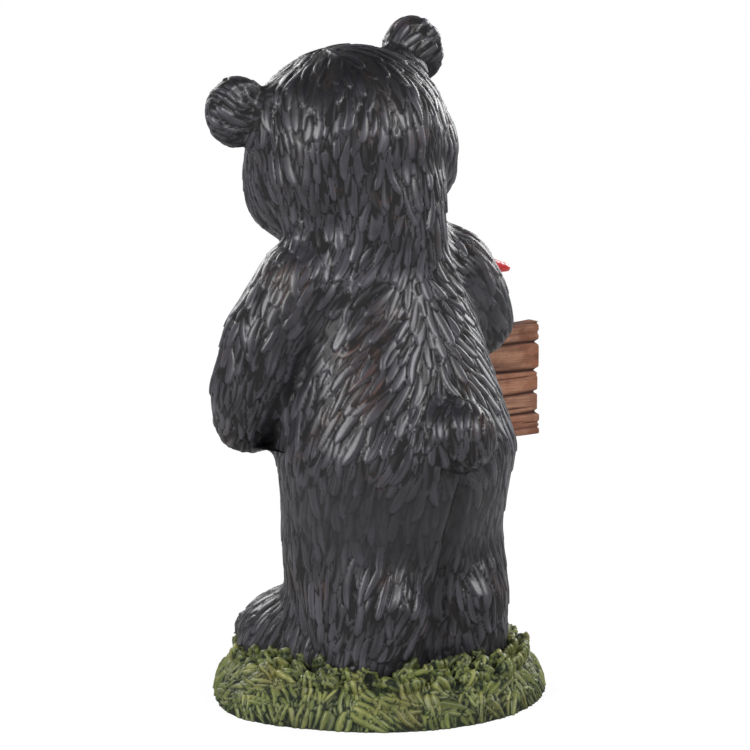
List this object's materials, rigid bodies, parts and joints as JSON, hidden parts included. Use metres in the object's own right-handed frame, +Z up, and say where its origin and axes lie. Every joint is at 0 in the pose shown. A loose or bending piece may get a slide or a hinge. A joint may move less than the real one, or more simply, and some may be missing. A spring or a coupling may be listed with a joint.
{
  "type": "bear garden statue",
  "caption": "Upright bear on a grass mound, holding a plank sign board across its belly, with a small bird perched on its forearm.",
  "frame": {"origin": "centre of the flat underside of the grass mound", "axes": "+Z up along the figure, -Y the way the bear faces, +X to the bear's left"},
  "size_m": [0.2633, 0.2161, 0.3975],
  "materials": {
    "painted_fur": "satin",
    "painted_wood": "matte",
    "glossy_red": "gloss",
    "painted_grass": "matte",
    "glossy_black": "gloss"
  },
  "bodies": {
    "root": {"bear_on_grass": "painted_fur", "sign_board": "painted_wood", "bird": "glossy_red"}
  },
  "joints": []
}
